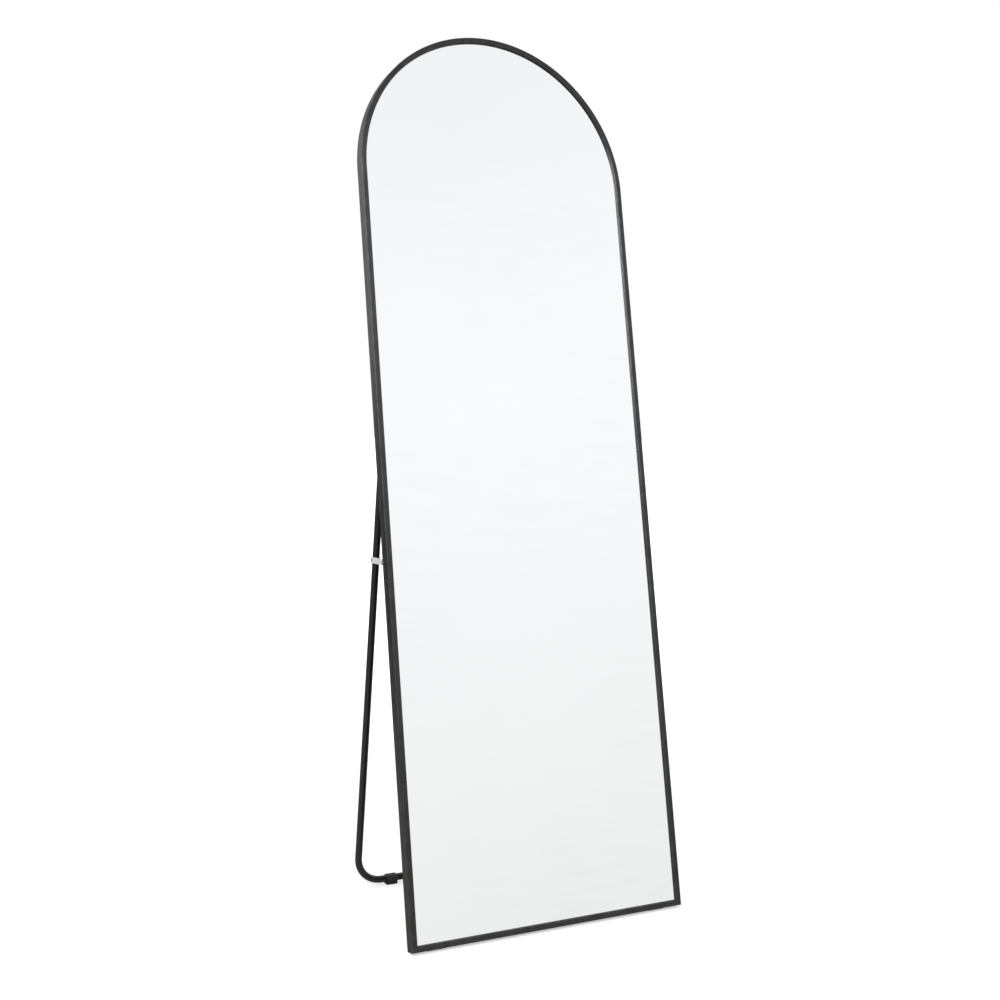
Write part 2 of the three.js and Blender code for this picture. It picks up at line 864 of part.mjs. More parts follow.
const stayAnchors = new THREE.Group();
stayAnchors.position.set(0, pivotDepth, anchorHeight);
stayAnchors.rotation.x = frontLinkTurn;
mirror.add(stayAnchors);

const legPins = new THREE.Group();
legPins.position.z = -stayDrop;
legPins.rotation.x = rearLinkTurn;
stand.add(legPins);

const legRivets = new THREE.Group();
legRivets.position.z = -stayDrop;
stand.add(legRivets);

sides.forEach(([name, side]) => {
  addPiece(mirror, `corner_key_${name}`, cornerKey(side), 'steel');
  addPiece(mirror, `setting_block_${name}`, settingBlock(side), 'rubber');
  addPiece(mirror, `bottom_pad_${name}`, bottomPad(side), 'silicone');
  addPiece(mirror, `hanger_plate_${name}`, hangerPlate(side), 'zinc');
  addPiece(mirror, `pivot_bolt_${name}`, pivotBolt(side), 'blackSteel');
  addPiece(mirror, `pivot_nut_${name}`, pivotNut(side), 'steel');
  addPiece(mirror, `stay_screw_${name}`, stayScrew(side), 'blackSteel');
  addPiece(mirror, `stay_stud_${name}`, stayStud(side), 'zinc');

  const spacer = pivotSaddle(side, legX + 3.2, railInside - seatGap);
  const washerEnd = legX - tubeRadius - seatGap - saddleWasherLength;
  const washer = pivotSaddle(side, washerEnd, legX - 3.2);
  addPiece(stand, `pivot_spacer_${name}`, spacer, 'nylon');
  addPiece(stand, `pivot_saddle_washer_${name}`, washer, 'nylon');
  addPiece(stand, `tube_insert_${name}`, tubeInsert(side), 'nylon');
  addPiece(standBar, `stand_foot_${name}`, standFoot(side), 'rubber');
  addPiece(legRivets, `leg_rivet_${name}`, legRivet(side), 'zinc');

  addPiece(stayAnchors, `stay_front_link_${name}`, frontLink(side), 'zinc');
  addPiece(stayAnchors, `knee_rivet_${name}`, kneeRivet(side), 'zinc');
  addPiece(legPins, `stay_rear_link_${name}`, rearLink(side), 'zinc');
  addPiece(legPins, `knee_tail_${name}`, kneeTail(side), 'zinc');
});

// origin on the floor, in the middle of the whole outline
const archedFloorMirror = new THREE.Group();
archedFloorMirror.add(mirror);
archedFloorMirror.updateMatrixWorld(true);
const extent = new THREE.Box3().setFromObject(archedFloorMirror, true);
mirror.position.y = -(extent.min.y + extent.max.y) / 2;

export default archedFloorMirror;
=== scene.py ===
import bmesh
import bpy
import json
import math
from mathutils import Matrix, Vector


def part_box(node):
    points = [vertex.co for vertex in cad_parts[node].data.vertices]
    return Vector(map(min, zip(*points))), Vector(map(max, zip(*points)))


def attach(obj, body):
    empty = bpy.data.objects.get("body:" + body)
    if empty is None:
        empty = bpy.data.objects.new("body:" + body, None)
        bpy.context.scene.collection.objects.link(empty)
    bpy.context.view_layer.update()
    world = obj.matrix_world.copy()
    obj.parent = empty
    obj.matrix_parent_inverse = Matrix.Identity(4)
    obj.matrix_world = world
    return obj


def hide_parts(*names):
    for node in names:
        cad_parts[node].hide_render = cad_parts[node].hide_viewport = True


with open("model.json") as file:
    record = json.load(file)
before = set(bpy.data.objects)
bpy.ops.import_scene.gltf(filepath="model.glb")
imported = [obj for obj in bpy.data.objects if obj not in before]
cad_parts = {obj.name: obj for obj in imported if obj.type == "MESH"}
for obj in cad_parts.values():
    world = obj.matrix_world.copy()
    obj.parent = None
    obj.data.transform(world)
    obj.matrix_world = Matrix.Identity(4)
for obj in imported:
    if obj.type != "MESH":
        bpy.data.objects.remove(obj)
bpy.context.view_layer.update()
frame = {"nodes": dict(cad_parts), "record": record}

# Arched floor mirror on its folding stand, in metres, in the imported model's own frame.
# The mirror's pieces are drawn upright: x across, y deep from the front face, z up along it.
# The stand's tube is drawn upright too, with its pivots at the origin.

nodes = frame["nodes"]
scene = bpy.context.scene
sides = {"left": -1, "right": 1}
weld = 1e-6  # points closer than this are one

mirrorPose = {"lean": 13.0, "shift": (0, -0.178519, 0.005299)}
standPose = {"slope": 4.7, "pivot": (0, 0.043426, 0.904416)}

mirrorPlace = (Matrix.Translation(mirrorPose["shift"])
               @ Matrix.Rotation(-math.radians(mirrorPose["lean"]), 4, "X"))
standPlace = (Matrix.Translation(standPose["pivot"])
              @ Matrix.Rotation(math.radians(standPose["slope"]), 4, "X"))


# wiring of node trees

class Wiring:
    def __init__(self, tree):
        self.tree = tree

    def plug(self, socket, value):
        if isinstance(value, bpy.types.NodeSocket):
            self.tree.links.new(value, socket)
        else:
            socket.default_value = value

    def add(self, kind, plugs=None, out=0, **settings):
        made = self.tree.nodes.new(kind)
        for key, value in settings.items():
            setattr(made, key, value)
        for key, value in (plugs or {}).items():
            self.plug(made.inputs[key], value)
        return made.outputs[out] if len(made.outputs) else made

    def maths(self, operation, *values):
        return self.add("ShaderNodeMath", dict(enumerate(values)), operation=operation)

    def vector(self, operation, *values):
        return self.add("ShaderNodeVectorMath", dict(enumerate(values)), operation=operation)

    def combine(self, x, y, z):
        return self.add("ShaderNodeCombineXYZ", {0: x, 1: y, 2: z})

    def noise(self, place, plugs):
        return self.add("ShaderNodeTexNoise", {"Vector": place, **plugs})

    def effect(self, group, plugs):
        return self.add("ShaderNodeGroup", plugs, node_tree=group)

    def join(self, *parts):
        joined = self.add("GeometryNodeJoinGeometry")
        for part in parts:
            self.tree.links.new(part, joined.node.inputs[0])
        return joined

    def solid(self, geometry, material):
        real = self.add("GeometryNodeRealizeInstances", {"Geometry": geometry})
        return self.add("GeometryNodeSetMaterial", {"Geometry": real, "Material": material})

    def blend(self, factor, low, high):
        return self.add("ShaderNodeMix", {0: factor, 6: low, 7: high}, out=2, data_type="RGBA")

    def span(self, value, low, high, fromLow=0.0, fromHigh=1.0):
        return self.add("ShaderNodeMapRange",
                        {0: value, 1: fromLow, 2: fromHigh, 3: low, 4: high}, clamp=True)


def newTree(name, kind, inputs, outputs):
    tree = bpy.data.node_groups.new(name, kind)
    for label, socketType, *value in inputs:
        made = tree.interface.new_socket(label, in_out="INPUT",
                                         socket_type="NodeSocket" + socketType)
        if value:
            made.default_value = value[0]
    for label, socketType in outputs:
        tree.interface.new_socket(label, in_out="OUTPUT",
                                  socket_type="NodeSocket" + socketType)
    wires = Wiring(tree)
    given = tree.nodes.new("NodeGroupInput").outputs
    result = tree.nodes.new("NodeGroupOutput").inputs
    return tree, wires, given, result


def tone(red, green, blue):
    def linear(value):
        value /= 255
        return value / 12.92 if value <= 0.04045 else ((value + 0.055) / 1.055) ** 2.4
    return (linear(red), linear(green), linear(blue), 1)


# shared effects

def streakGroup():
    look = {"broad": {"Scale": 1.0, "Detail": 2.0, "Roughness": 0.55}, "broadShare": 0.45,
            "fine": {"Scale": 1.0, "Detail": 3.0, "Roughness": 0.6}, "band": (0.33, 0.67)}
    tree, wires, given, result = newTree(
        "brushedStreaks", "ShaderNodeTree",
        [("Vector", "Vector"), ("Stretch", "Vector", (1, 1, 1)), ("Finer", "Float", 3.0)],
        [("Streak", "Float"), ("Height", "Float")])
    drawn = wires.vector("MULTIPLY", given["Vector"], given["Stretch"])
    broad = wires.noise(drawn, look["broad"])
    finer = wires.vector("SCALE", drawn)
    wires.plug(finer.node.inputs["Scale"], given["Finer"])
    fine = wires.noise(finer, look["fine"])
    both = wires.maths("ADD", wires.maths("MULTIPLY", broad, look["broadShare"]),
                       wires.maths("MULTIPLY", fine, 1 - look["broadShare"]))
    wires.plug(result["Streak"], wires.span(both, 0.0, 1.0, *look["band"]))
    wires.plug(result["Height"], fine)
    return tree


# edge wear and a painted edge highlight: a paler tone, broken by patches, laid along the
# rounded edges
def wearAndHighlightGroup():
    look = {"patch": {"Detail": 4.0, "Roughness": 0.65}, "least": 0.35, "band": (0.35, 0.62)}
    tree, wires, given, result = newTree(
        "edgeWearAndHighlight", "ShaderNodeTree",
        [("Vector", "Vector"), ("Edge", "Float", 0.0), ("Patch Scale", "Float", 60.0),
         ("Amount", "Float", 0.5)],
        [("Mask", "Float")])
    patch = wires.noise(given["Vector"], {"Scale": given["Patch Scale"], **look["patch"]})
    broken = wires.span(patch, look["least"], 1.0, *look["band"])
    mask = wires.maths("MULTIPLY", wires.maths("MULTIPLY", given["Edge"], broken),
                       given["Amount"])
    wires.plug(result["Mask"], mask)
    return tree


def dustGroup():
    look = {"steep": (-0.1, 0.9), "onSides": 0.15, "cloud": {"Scale": 22.0, "Detail": 3.0},
            "cloudBand": (0.35, 0.7), "leastCloud": 0.2, "speck": {"Detail": 2.0},
            "speckBand": (0.52, 0.75)}
    tree, wires, given, result = newTree(
        "settledDust", "ShaderNodeTree",
        [("Vector", "Vector"), ("Speck Scale", "Float", 900.0), ("Amount", "Float", 0.2)],
        [("Mask", "Float")])
    normal = wires.add("ShaderNodeNewGeometry", out="Normal")
    upward = wires.add("ShaderNodeSeparateXYZ", {0: normal}, out="Z")
    facing = wires.span(upward, look["onSides"], 1.0, *look["steep"])
    cloud = wires.noise(given["Vector"], look["cloud"])
    cloud = wires.span(cloud, look["leastCloud"], 1.0, *look["cloudBand"])
    speck = wires.noise(given["Vector"], {"Scale": given["Speck Scale"], **look["speck"]})
    mask = wires.maths("MULTIPLY", cloud, wires.span(speck, 0.0, 1.0, *look["speckBand"]))
    mask = wires.maths("MULTIPLY", wires.maths("MULTIPLY", mask, facing), given["Amount"])
    wires.plug(result["Mask"], mask)
    return tree


def peelGroup():
    look = {"soft": {"Detail": 2.0}, "patch": {"Scale": 35.0, "Detail": 4.0},
            "band": (0.3, 0.7)}
    tree, wires, given, result = newTree(
        "coatPeel", "ShaderNodeTree",
        [("Vector", "Vector"), ("Cell Scale", "Float", 900.0)],
        [("Height", "Float"), ("Patch", "Float")])
    cells = wires.add("ShaderNodeTexVoronoi", {"Vector": given["Vector"],
                                               "Scale": given["Cell Scale"]},
                      feature="SMOOTH_F1")
    soft = wires.noise(given["Vector"], {"Scale": given["Cell Scale"], **look["soft"]})
    patch = wires.noise(given["Vector"], look["patch"])
    wires.plug(result["Height"], wires.maths("ADD", cells, soft))
    wires.plug(result["Patch"], wires.span(patch, 0.0, 1.0, *look["band"]))
    return tree


brushedStreaks, edgeWearAndHighlight = streakGroup(), wearAndHighlightGroup()
settledDust, coatPeel = dustGroup(), peelGroup()


def newMaterial(name, **fixed):
    material = bpy.data.materials.new(name)
    material.use_nodes = True
    tree = material.node_tree
    tree.nodes.clear()
    wires = Wiring(tree)
    shader = tree.nodes.new("ShaderNodeBsdfPrincipled")
    end = tree.nodes.new("ShaderNodeOutputMaterial")
    tree.links.new(shader.outputs["BSDF"], end.inputs["Surface"])
    for label, value in fixed.items():
        shader.inputs[label.replace("_", " ")].default_value = value
    return material, wires, shader.inputs


def objectPlace(wires):
    return wires.add("ShaderNodeTexCoord", out="Object")


def bumped(wires, sockets, height, distance, strength):
    normal = wires.add("ShaderNodeBump", {"Height": height, "Distance": distance,
                                          "Strength": strength})
    wires.plug(sockets["Normal"], normal)


def frameMaterial():
    look = {"dark": tone(42, 42, 43), "light": tone(67, 67, 68), "worn": tone(112, 110, 109),
            "streaks": {"Stretch": (9.0, 2600.0, 1.0), "Finer": 2.7}, "rough": (0.34, 0.46),
            "wear": {"Patch Scale": 45.0, "Amount": 0.5}, "spread": 0.75,
            "bump": (0.00003, 0.6),
            "dust": {"Speck Scale": 1100.0, "Amount": 0.1}, "dusty": tone(150, 148, 145)}
    material, wires, sockets = newMaterial("anodisedFrame", Metallic=1.0,
                                           Anisotropic=look["spread"])
    # the highlight spreads across the member, as its brushing runs along it
    flow = wires.add("ShaderNodeAttribute", out="Vector", attribute_name="flow")
    flow = wires.add("ShaderNodeVectorRotate",
                     {"Vector": flow, "Angle": -math.radians(mirrorPose["lean"])},
                     rotation_type="X_AXIS")
    facing = wires.add("ShaderNodeNewGeometry", out="Normal")
    wires.plug(sockets["Tangent"], wires.vector("CROSS_PRODUCT", facing, flow))
    along = wires.add("ShaderNodeAttribute", out="Vector", attribute_name="grain")
    edge = wires.add("ShaderNodeAttribute", out="Fac", attribute_name="edge")
    place = objectPlace(wires)
    streak = wires.effect(brushedStreaks, {"Vector": along, **look["streaks"]})
    wear = wires.effect(edgeWearAndHighlight, {"Vector": place, "Edge": edge, **look["wear"]})
    dust = wires.effect(settledDust, {"Vector": place, **look["dust"]})
    colour = wires.blend(streak, look["dark"], look["light"])
    # the rounded edges are painted paler, partly as wear and partly as a painted highlight
    colour = wires.blend(wear, colour, look["worn"])
    wires.plug(sockets["Base Color"], wires.blend(dust, colour, look["dusty"]))
    wires.plug(sockets["Roughness"], wires.span(streak, *look["rough"]))
    bumped(wires, sockets, streak.node.outputs["Height"], *look["bump"])
    return material


def glassMaterial():
    look = {"clear": tone(252, 253, 254), "hazed": tone(248, 250, 251), "rough": (0.008, 0.02),
            "haze": {"Scale": 3.0, "Detail": 3.0}, "hazeBand": (0.35, 0.7),
            "wipe": {"Stretch": (7.0, 7.0, 40.0), "Finer": 2.0}}
    material, wires, sockets = newMaterial("silveredGlass", Metallic=1.0)
    place = objectPlace(wires)
    haze = wires.noise(place, look["haze"])
    wipe = wires.effect(brushedStreaks, {"Vector": place, **look["wipe"]})
    film = wires.maths("MULTIPLY", wires.span(haze, 0.0, 1.0, *look["hazeBand"]), wipe)
    wires.plug(sockets["Base Color"], wires.blend(film, look["clear"], look["hazed"]))
    wires.plug(sockets["Roughness"], wires.span(film, *look["rough"]))
    return material


coatDust = {"specks": 1000.0, "dusty": tone(140, 138, 134)}


def coatMaterial(name, look):
    material, wires, sockets = newMaterial(name, Metallic=0.0, IOR=1.5)
    place = objectPlace(wires)
    peel = wires.effect(coatPeel, {"Vector": place, "Cell Scale": look["cells"]})
    patch = peel.node.outputs["Patch"]
    dust = wires.effect(settledDust, {"Vector": place, "Speck Scale": coatDust["specks"],
                                      "Amount": look["dust"]})
    colour = wires.blend(patch, look["dark"], look["light"])
    wires.plug(sockets["Base Color"], wires.blend(dust, colour, coatDust["dusty"]))
    wires.plug(sockets["Roughness"], wires.span(patch, *look["rough"]))
    bumped(wires, sockets, peel, *look["bump"])
    return material


zincGrain = {"finer": 2.3, "leastBloom": 0.25, "bloomBand": (0.0, 0.7), "bump": (0.00002, 0.5)}


def zincMaterial(name, look):
    material, wires, sockets = newMaterial(name, Metallic=look.get("metal", 1.0))
    place = objectPlace(wires)
    streak = wires.effect(brushedStreaks, {"Vector": place, "Stretch": look["stretch"],
                                           "Finer": zincGrain["finer"]})
    bloom = wires.add("ShaderNodeTexVoronoi", {"Vector": place, "Scale": look["bloom"]},
                      feature="SMOOTH_F1")
    bloom = wires.span(bloom, zincGrain["leastBloom"], 1.0, *zincGrain["bloomBand"])
    mixed = wires.maths("MULTIPLY", bloom, streak)
    wires.plug(sockets["Base Color"], wires.blend(mixed, look["dark"], look["light"]))
    wires.plug(sockets["Roughness"], wires.span(mixed, *look["rough"]))
    bumped(wires, sockets, streak, *zincGrain["bump"])
    return material


def boardMaterial():
    look = {"dark": tone(34, 34, 35), "light": tone(52, 51, 50), "rough": (0.62, 0.85),
            "fibre": {"Stretch": (500.0, 90.0, 500.0), "Finer": 2.2}, "bump": (0.0001, 0.5),
            "cloud": {"Scale": 6.0, "Detail": 5.0}, "leastCloud": 0.4,
            "cloudBand": (0.35, 0.65),
            "dust": {"Speck Scale": 700.0, "Amount": 0.25}, "dusty": tone(120, 117, 112)}
    material, wires, sockets = newMaterial("blackHardboard", Metallic=0.0)
    place = objectPlace(wires)
    fibre = wires.effect(brushedStreaks, {"Vector": place, **look["fibre"]})
    cloud = wires.noise(place, look["cloud"])
    cloud = wires.span(cloud, look["leastCloud"], 1.0, *look["cloudBand"])
    mixed = wires.maths("MULTIPLY", fibre, cloud)
    dust = wires.effect(settledDust, {"Vector": place, **look["dust"]})
    colour = wires.blend(mixed, look["dark"], look["light"])
    wires.plug(sockets["Base Color"], wires.blend(dust, colour, look["dusty"]))
    wires.plug(sockets["Roughness"], wires.span(mixed, *look["rough"]))
    bumped(wires, sockets, fibre.node.outputs["Height"], *look["bump"])
    return material


def padMaterial():
    look = {"clear": tone(232, 236, 236), "cloudy": tone(208, 214, 214), "rough": (0.22, 0.4),
            "cloud": {"Scale": 260.0, "Detail": 3.0}, "bump": (0.00005, 0.4)}
    material, wires, sockets = newMaterial("clearSilicone", Metallic=0.0, IOR=1.41,
                                           Transmission_Weight=0.55)
    place = objectPlace(wires)
    cloud = wires.noise(place, look["cloud"])
    wires.plug(sockets["Base Color"], wires.blend(cloud, look["clear"], look["cloudy"]))
    wires.plug(sockets["Roughness"], wires.span(cloud, *look["rough"]))
    bumped(wires, sockets, cloud, *look["bump"])
    return material


materials = {
    "frame_metal": frameMaterial(),
    "mirror_glass": glassMaterial(),
    "film": coatMaterial("backingFilm", {
        "dark": tone(176, 180, 184), "light": tone(196, 200, 204), "rough": (0.4, 0.55),
        "cells": 500.0, "dust": 0.0, "bump": (0.00002, 0.3)}),
    "board": boardMaterial(),
    "stand_tube": coatMaterial("blackPowderCoat", {
        "dark": tone(19, 19, 20), "light": tone(26, 26, 27), "rough": (0.3, 0.4),
        "cells": 1300.0, "dust": 0.12, "bump": (0.00004, 0.4)}),
    "black_rubber": coatMaterial("mouldedRubber", {
        "dark": tone(28, 28, 29), "light": tone(40, 40, 41), "rough": (0.6, 0.8),
        "cells": 2200.0, "dust": 0.3, "bump": (0.00006, 0.6)}),
    "clear_silicone": padMaterial(),
    "zinc_steel": zincMaterial("brightZinc", {
        "dark": tone(186, 188, 189), "light": tone(222, 224, 225), "rough": (0.26, 0.4),
        "stretch": (900.0, 60.0, 1400.0), "bloom": 420.0}),
    "rivet": zincMaterial("pressedRivet", {
        "dark": tone(172, 173, 174), "light": tone(200, 201, 202), "rough": (0.28, 0.42),
        "stretch": (600.0, 600.0, 600.0), "bloom": 800.0, "metal": 0.35}),
    "stay": zincMaterial("rolledZinc", {
        "dark": tone(224, 225, 225), "light": tone(246, 247, 247), "rough": (0.34, 0.5),
        "stretch": (1400.0, 90.0, 1400.0), "bloom": 500.0, "metal": 0.12}),
    "black_steel": zincMaterial("blackZinc", {
        "dark": tone(34, 34, 35), "light": tone(58, 58, 59), "rough": (0.3, 0.42),
        "stretch": (700.0, 700.0, 700.0), "bloom": 900.0}),
    "cast_key": zincMaterial("castZinc", {
        "dark": tone(128, 129, 131), "light": tone(158, 159, 160), "rough": (0.45, 0.6),
        "stretch": (300.0, 300.0, 300.0), "bloom": 300.0}),
    "nylon": coatMaterial("blackNylon", {
        "dark": tone(36, 36, 38), "light": tone(46, 46, 48), "rough": (0.45, 0.6),
        "cells": 1600.0, "dust": 0.1, "bump": (0.00003, 0.4)}),
}
slotOf = {part["node"]: part["material_slot"] for part in frame["record"]["subparts"]}
bodyOf = {node: body for body, group in frame["record"]["behaviour"]["bodies"].items()
          for node in group}
for nodeName, node in nodes.items():
    if not node.material_slots:
        node.data.materials.append(None)
    for slot in node.material_slots:
        slot.material = materials[slotOf[nodeName]]
print("materials:", len(materials))


# making and finishing pieces

def newObject(name, mesh):
    made = bpy.data.objects.new(name, mesh)
    scene.collection.objects.link(made)
    return made


def lineMesh(name, points, edges=None, **extra):
    mesh = bpy.data.meshes.new(name)
    mesh.from_pydata(points, edges or [], [])
    for label, (kind, values) in extra.items():
        attribute = mesh.attributes.new(label, kind, "POINT")
        field = "vector" if kind == "FLOAT_VECTOR" else "value"
        attribute.data.foreach_set(field, values)
    return mesh


def evaluated(worker):
    graph = bpy.context.evaluated_depsgraph_get()
    return bpy.data.meshes.new_from_object(worker.evaluated_get(graph),
                                           preserve_all_data_layers=True, depsgraph=graph)


def grow(name, base, tree, values):
    worker = newObject(name + "Maker", base)
    modifier = worker.modifiers.new("grow", "NODES")
    modifier.node_group = tree
    for item in tree.interface.items_tree:
        if item.item_type == "SOCKET" and item.in_out == "INPUT" and item.name in values:
            modifier[item.identifier] = values[item.name]
    mesh = evaluated(worker)
    worker.modifiers.remove(modifier)
    bpy.data.objects.remove(worker)
    mesh.name = name
    return mesh


def merged(mesh, within=weld):
    work = bmesh.new()
    work.from_mesh(mesh)
    bmesh.ops.remove_doubles(work, verts=work.verts, dist=within)
    return work


def closeUp(mesh, mergeWithin=weld):
    work = merged(mesh, mergeWithin)
    rims = [edge for edge in work.edges if edge.is_boundary]
    if rims:
        bmesh.ops.holes_fill(work, edges=rims)
    bmesh.ops.recalc_face_normals(work, faces=work.faces)
    work.to_mesh(mesh)
    work.free()


shading = {"sharp": 32, "weight": 80}


def evenShading(piece, sharpAngle=shading["sharp"]):
    piece.data.shade_smooth()
    piece.data.set_sharp_from_angle(angle=math.radians(sharpAngle))
    modifier = piece.modifiers.new("evenNormals", "WEIGHTED_NORMAL")
    modifier.keep_sharp = True
    modifier.weight = shading["weight"]


def finishPiece(piece, body, slotName, *replaced, look=None):
    if not piece.data.materials:
        piece.data.materials.append(materials[look or slotName])
    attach(piece, body)
    if replaced:
        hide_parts(*replaced)


# frame: one section swept up the left side, over the arch and down the right, and along the
# bottom rail between mitred corners

frameSizes = {
    "width": 0.5, "height": 1.5, "depth": 0.02, "face": 0.0095, "lip": 0.0038,
    "grooveFloor": 0.0055, "grooveRear": 0.0078, "outerRound": 0.00125, "innerRound": 0.00064,
    "lipRound": 0.0015, "grooveRound": 0.0002, "roundSteps": 5, "archSteps": 180,
    "jointGap": 0.00007, "roundWearAndHighlight": 1.0, "flatWearAndHighlight": 0.35,
}


def frameSection(size):
    corners = [  # depth from the front, inward from the outside, rounding
        (size["lip"], size["grooveFloor"], 0),
        (size["lip"], size["face"], size["grooveRound"]),
        (0, size["face"], size["lipRound"]), (0, 0, size["outerRound"]),
        (size["depth"], 0, size["innerRound"]),
        (size["depth"], size["face"], size["innerRound"]),
        (size["grooveRear"], size["face"], size["grooveRound"]),
        (size["grooveRear"], size["grooveFloor"], 0),
    ]
    points, edge = [], []
    for i, (depth, inward, radius) in enumerate(corners):
        corner = Vector((depth, inward, 0))
        if not radius:
            points.append(corner)
            edge.append(0.0)
            continue
        before = (Vector((*corners[i - 1][:2], 0)) - corner).normalized()
        after = (Vector((*corners[(i + 1) % len(corners)][:2], 0)) - corner).normalized()
        centre = corner + (before + after) * radius
        for step in range(size["roundSteps"] + 1):
            turn = math.pi / 2 * step / size["roundSteps"]
            points.append(centre - after * radius * math.cos(turn)
                          - before * radius * math.sin(turn))
            between = 0 < step < size["roundSteps"]
            # each point's share of the painted edge wear and highlight: full on the roundings,
            # less where they meet the flats
            edge.append(size["roundWearAndHighlight"] if between else size["flatWearAndHighlight"])
    return points, edge


def frameTree():
    tree, wires, given, result = newTree(
        "sweptFrame", "GeometryNodeTree",
        [("Section", "Geometry"), ("Width", "Float"), ("Height", "Float"),
         ("Arch Steps", "Int"), ("Section Points", "Int"), ("Joint Gap", "Float"),
         ("Material", "Material")],
        [("Frame", "Geometry")])
    half = wires.maths("MULTIPLY", given["Width"], 0.5)
    spring = wires.maths("SUBTRACT", given["Height"], half)
    across = wires.maths("ADD", given["Section Points"], 1.0)
    index = wires.add("GeometryNodeInputIndex")
    station = wires.maths("DIVIDE", wires.maths("ADD", index, 0.5), across)
    station = wires.maths("FLOOR", station)
    column = wires.maths("SUBTRACT", index, wires.maths("MULTIPLY", station, across))
    column = wires.maths("ROUND", column)
    column = wires.maths("FLOORED_MODULO", column, given["Section Points"])
    position = wires.add("GeometryNodeInputPosition")
    point = wires.add("GeometryNodeSampleIndex",
                      {"Geometry": given["Section"], "Value": position, "Index": column},
                      data_type="FLOAT_VECTOR")
    apart = wires.add("ShaderNodeSeparateXYZ", {0: point})
    depth, inward = apart, apart.node.outputs["Y"]

    def sampled(label):
        named = wires.add("GeometryNodeInputNamedAttribute", {"Name": label},
                          data_type="FLOAT")
        return wires.add("GeometryNodeSampleIndex",
                         {"Geometry": given["Section"], "Value": named, "Index": column},
                         data_type="FLOAT")

    around, edge = sampled("around"), sampled("edge")

    def member(stations, x, z, along, flow):
        grid = wires.add("GeometryNodeMeshGrid", {"Vertices X": stations,
                                                  "Vertices Y": across})
        placed = wires.add("GeometryNodeSetPosition",
                           {"Geometry": grid, "Position": wires.combine(x, depth, z)})
        grain = wires.combine(along, around, 0.0)
        for label, value, kind in (("grain", grain, "FLOAT_VECTOR"), ("edge", edge, "FLOAT"),
                                   ("flow", flow, "FLOAT_VECTOR")):
            placed = wires.add("GeometryNodeStoreNamedAttribute",
                               {"Geometry": placed, "Name": label, "Value": value},
                               data_type=kind, domain="POINT")
        return wires.add("GeometryNodeMergeByDistance", {"Geometry": placed, "Distance": weld})

    # sides and arch
    last = wires.maths("ADD", given["Arch Steps"], 2.0)
    share = wires.maths("DIVIDE", wires.maths("SUBTRACT", station, 1.0), given["Arch Steps"])
    turn = wires.maths("MULTIPLY", wires.span(share, 0.0, 1.0), math.pi)
    reach = wires.maths("SUBTRACT", half, inward)
    archX = wires.maths("MULTIPLY", reach, wires.maths("COSINE", turn))
    archX = wires.maths("MULTIPLY", archX, -1.0)
    archZ = wires.maths("MULTIPLY", reach, wires.maths("SINE", turn))
    archZ = wires.maths("ADD", spring, archZ)
    footZ = wires.maths("ADD", inward, given["Joint Gap"])
    inner = wires.maths("MULTIPLY", wires.maths("GREATER_THAN", station, 0.5),
                        wires.maths("LESS_THAN", station, wires.maths("SUBTRACT", last, 0.5)))
    sideZ = wires.add("ShaderNodeMix", {0: inner, 2: footZ, 3: archZ}, data_type="FLOAT")
    along = wires.maths("MULTIPLY_ADD", turn, half, spring)
    along = wires.maths("MULTIPLY", along, wires.maths("GREATER_THAN", station, 0.5))
    endRise = wires.maths("GREATER_THAN", station, wires.maths("SUBTRACT", last, 0.5))
    along = wires.maths("MULTIPLY_ADD", endRise, spring, along)
    flow = wires.combine(wires.maths("SINE", turn), 0.0, wires.maths("COSINE", turn))
    arch = member(wires.maths("ADD", last, 1.0), archX, sideZ, along, flow)

    # bottom rail, its grain set apart from the sides'
    grainStart = 7.0
    side = wires.maths("SUBTRACT", wires.maths("MULTIPLY", station, 2.0), 1.0)
    railReach = wires.maths("SUBTRACT", reach, given["Joint Gap"])
    railX = wires.maths("MULTIPLY", side, railReach)
    rail = member(2, railX, inward, wires.maths("ADD", railX, grainStart), (1.0, 0.0, 0.0))

    wires.plug(result[0], wires.solid(wires.join(rail, arch), given["Material"]))
    return tree


def lathe(work, profile, place, segments=32):
    rings = []
    for reach, radius in profile:
        spots = 1 if radius == 0 else segments
        turns = [2 * math.pi * k / segments for k in range(spots)]
        rings.append([work.verts.new(place @ Vector((radius * math.cos(turn),
                                                     radius * math.sin(turn), reach)))
                      for turn in turns])
    for low, high in zip(rings, rings[1:]):
        for k in range(segments):
            quad = [low[k % len(low)], low[(k + 1) % len(low)],
                    high[(k + 1) % len(high)], high[k % len(high)]]
            work.faces.new(list(dict.fromkeys(quad)))


# sinks for the screws: two at each corner from the rear, two in each side for stand and stay
cornerScrewSizes = {
    "sinkRadius": 0.00312, "shankRadius": 0.0015, "clear": 0.0003, "reach": 0.03,
    "seat": 0.0193,
}
sideScrewSizes = {
    "depth": 0.014, "clear": 0.00018, "below": 0.00003,
    "pivot": {"rise": 0.926, "head": 0.0042, "shank": 0.0025, "length": 0.0424},
    "stay": {"rise": 0.599, "head": 0.0036, "shank": 0.002, "length": 0.0132},
}


def cornerScrewSpots():
    half, middle = frameSizes["width"] / 2, frameSizes["face"] / 2
    reach = cornerScrewSizes["reach"]
    for side in sides.values():
        yield Vector((side * (half - middle), 0, reach))
        yield Vector((side * (half - reach), 0, middle))


def sink(work, place, mouth, neck):
    above, below = 0.001, 0.006
    lathe(work, [(-above, 0), (-above, mouth), (0, mouth), (mouth - neck, neck),
                 (below, neck), (below, 0)], place)


